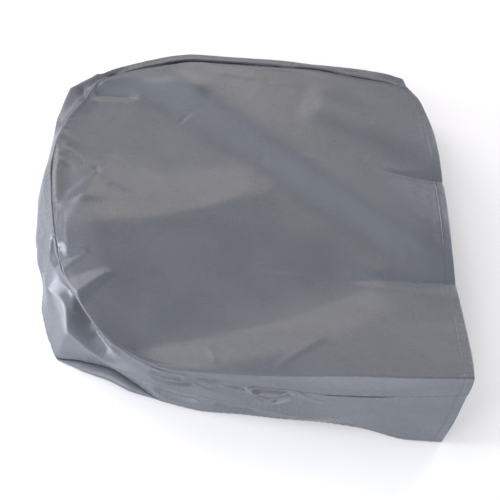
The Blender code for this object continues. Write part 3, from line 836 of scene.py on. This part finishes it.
def stitches(name, paths, material):  # bars of five rings of six points, set along each path
    v = stitchValues
    lengthwise = np.array([-1, -0.7, 0, 0.7, 1])[:, None] * v["length"] / 2
    girth = np.array([0.35, 0.9, 1.0, 0.9, 0.35])[:, None]
    arch = np.array([-0.9, -0.15, 0.1, -0.15, -0.9])[:, None] * v["height"]
    around = np.linspace(0, 2 * np.pi, 6, endpoint=False)[None]
    sideways = girth * np.cos(around) * v["width"] / 2
    upright = arch + girth * np.sin(around) * v["height"]
    shape = np.stack([lengthwise + 0 * around, sideways, upright], axis=-1).reshape(-1, 3)
    points = []
    for place, normal in paths:
        run = runLength(place)
        at = np.arange(v["pitch"] / 2, run[-1] - v["pitch"] / 3, v["pitch"])
        spot = np.stack([np.interp(at, run, place[:, k]) for k in range(3)], axis=1)
        ahead = np.stack([np.interp(at + 1, run, place[:, k]) for k in range(3)], axis=1) - spot
        up = np.stack([np.interp(at, run, normal[:, k]) for k in range(3)], axis=1)
        ahead /= np.linalg.norm(ahead, axis=1)[:, None]
        across = np.cross(up, ahead)
        across /= np.linalg.norm(across, axis=1)[:, None]
        axes = np.stack([ahead, across, np.cross(ahead, across)], axis=1)
        points.append(spot[:, None] + np.einsum("pk,nkx->npx", shape, axes))
    points = np.concatenate(points)
    perStitch = len(shape)
    ringIndex = np.arange(perStitch).reshape(5, 6)
    quads = np.stack([
        ringIndex[:-1], np.roll(ringIndex, -1, 1)[:-1], np.roll(ringIndex, -1, 1)[1:], ringIndex[1:]
    ], axis=-1).reshape(-1, 4)
    ends = [ringIndex[0, ::-1].tolist(), ringIndex[-1].tolist()]
    step = np.arange(len(points)) * perStitch
    faces = (quads[None] + step[:, None, None]).reshape(-1, 4).tolist()
    faces += [[i + s for i in end] for s in step.tolist() for end in ends]
    uv = np.tile(shape[:, :2], (len(points), 1)) + np.repeat(step, perStitch)[:, None] * 0.37
    return meshOf(name, points.reshape(-1, 3), faces, uv, material)


def ridden(piece):  # a piece tied to the body
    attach(piece, "root")
    return piece


thread = threadMaterial("hemThread")
sheetNormals = pointNormals(front, frontFaces).reshape(rows, cols, 3)
frontGrid, frontUnder = front.reshape(rows, cols, 3), frontInner.reshape(rows, cols, 3)
mouthFirst = frontMouth[::-1]
frontThread = ridden(stitches("front_hem_stitches", [
    stitchPath(frontGrid[::-1], mouthFirst, sheetNormals[::-1]),
    stitchPath(frontUnder[::-1], mouthFirst, -sheetNormals[::-1]),
], thread))
bandNormals = pointNormals(band, bandFaces).reshape(count, deep, 3)
bandGrid, bandUnder = band.reshape(count, deep, 3), bandInner.reshape(count, deep, 3)
quarter = count // 4
bandThread = ridden(stitches("band_hem_stitches", [
    stitchPath(bandGrid[:quarter], bandMouth[:quarter], bandNormals[:quarter]),
    stitchPath(bandUnder[:quarter], bandMouth[:quarter], -bandNormals[:quarter]),
    stitchPath(bandGrid[:-quarter:-1], bandMouth[:-quarter:-1], bandNormals[:-quarter:-1]),
    stitchPath(bandUnder[:-quarter:-1], bandMouth[:-quarter:-1], -bandNormals[:-quarter:-1]),
], thread))
backNormals = pointNormals(back, backFaces)[: rows * cols].reshape(rows, cols, 3)
backUnder = backInner[: rows * cols].reshape(rows, cols, 3)
backThread = ridden(stitches("back_hem_stitches", [
    stitchPath(backUnder[::-1], backMouth[::-1], -backNormals[::-1]),
], thread))
print("hem stitched")


stageValues = {
    "floor": (0.96, 0.96, 0.965, 1.0),
    "floorHalf": 9,  # metres from its middle to its edge
    "floorDrop": 0.0002,  # metres below the cover
    "world": 0.37,
    "distance": 1.9,  # metres from the camera to the point it looks at
    "elevation": 52.0,
    "lookAt": (0.0156, -0.0419, 0.06),
    "lens": 91.2,
}
# Soft square lights that all face the origin: place and size in metres, strength and colour.
lightColumns = "x y z watts size red green blue".split()
lights = {
    "westCard": (-2.22, 0.0, 0.60, 44, 0.9, 0.88, 0.91, 1.0),
    "eastCard": (2.22, 0.0, 0.60, 8, 0.9, 1.0, 1.0, 1.0),
    "southWestCard": (-1.57, -1.57, 0.60, 17, 0.9, 0.97, 0.98, 1.0),
    "southEastCard": (1.57, -1.57, 0.60, 16, 0.9, 0.93, 0.96, 1.0),
    "northEastCard": (1.57, 1.57, 0.60, 24, 0.9, 0.90, 0.91, 1.0),
    "northWestBox": (-1.33, 1.33, 1.32, 13, 0.9, 1.0, 0.93, 0.92),
    "northBox": (0.0, 1.88, 1.32, 7.2, 0.9, 1.0, 0.88, 0.74),
    "southBox": (0.0, -1.88, 1.32, 8, 0.9, 1.0, 0.92, 0.96),
    "southCard": (0.0, -2.22, 0.60, 7, 0.9, 0.96, 1.0, 1.0),
    "overheadBox": (-0.71, 0.0, 2.19, 4.5, 0.9, 0.90, 0.93, 1.0),
}


def floorMaterial(name):  # pale paper with a faint grain in its gloss
    tree = ShaderTree(name)
    place = tree.add("ShaderNodeTexCoord")["Object"]
    grain = tree.add("ShaderNodeTexNoise", None, place, Scale=40.0, Detail=3.0)
    return tree.finish(Base_Color=stageValues["floor"], Roughness=grain * 0.1 + 0.8)


def makeStage():  # floor, lights and an even white surround
    half, low = stageValues["floorHalf"], -stageValues["floorDrop"]
    corners = [(-half, -half, low), (half, -half, low), (half, half, low), (-half, half, low)]
    mesh = bpy.data.meshes.new("floor")
    mesh.from_pydata(corners, [], [(0, 1, 2, 3)])
    mesh.materials.append(floorMaterial("palePaper"))
    floor = bpy.data.objects.new("floor", mesh)
    bpy.context.scene.collection.objects.link(floor)
    for name, row in lights.items():
        v = dict(zip(lightColumns, row))
        data = bpy.data.lights.new(name, "AREA")
        data.energy, data.size = v["watts"], v["size"]
        data.color = (v["red"], v["green"], v["blue"])
        lamp = bpy.data.objects.new(name, data)
        lamp.location = (v["x"], v["y"], v["z"])
        lamp.rotation_euler = (-Vector(lamp.location)).to_track_quat("-Z", "Y").to_euler()
        bpy.context.scene.collection.objects.link(lamp)
    world = bpy.data.worlds.new("studio")
    world.use_nodes = True
    background = world.node_tree.nodes["Background"]
    background.inputs["Color"].default_value = (1.0, 1.0, 1.0, 1.0)
    background.inputs["Strength"].default_value = stageValues["world"]
    bpy.context.scene.world = world


def makeCamera():  # looks down at the cover from the near side
    data = bpy.data.cameras.new("camera")
    data.sensor_width, data.lens = 36, stageValues["lens"]
    camera = bpy.data.objects.new("camera", data)
    up = math.radians(stageValues["elevation"])
    away = Vector((0, -math.cos(up), math.sin(up))) * stageValues["distance"]
    camera.location = Vector(stageValues["lookAt"]) + away
    camera.rotation_euler = (math.pi / 2 - up, 0, 0)
    bpy.context.scene.collection.objects.link(camera)
    bpy.context.scene.camera = camera


makeStage()
makeCamera()
print("stage and camera set")
bpy.context.scene.view_settings.view_transform = "Standard"
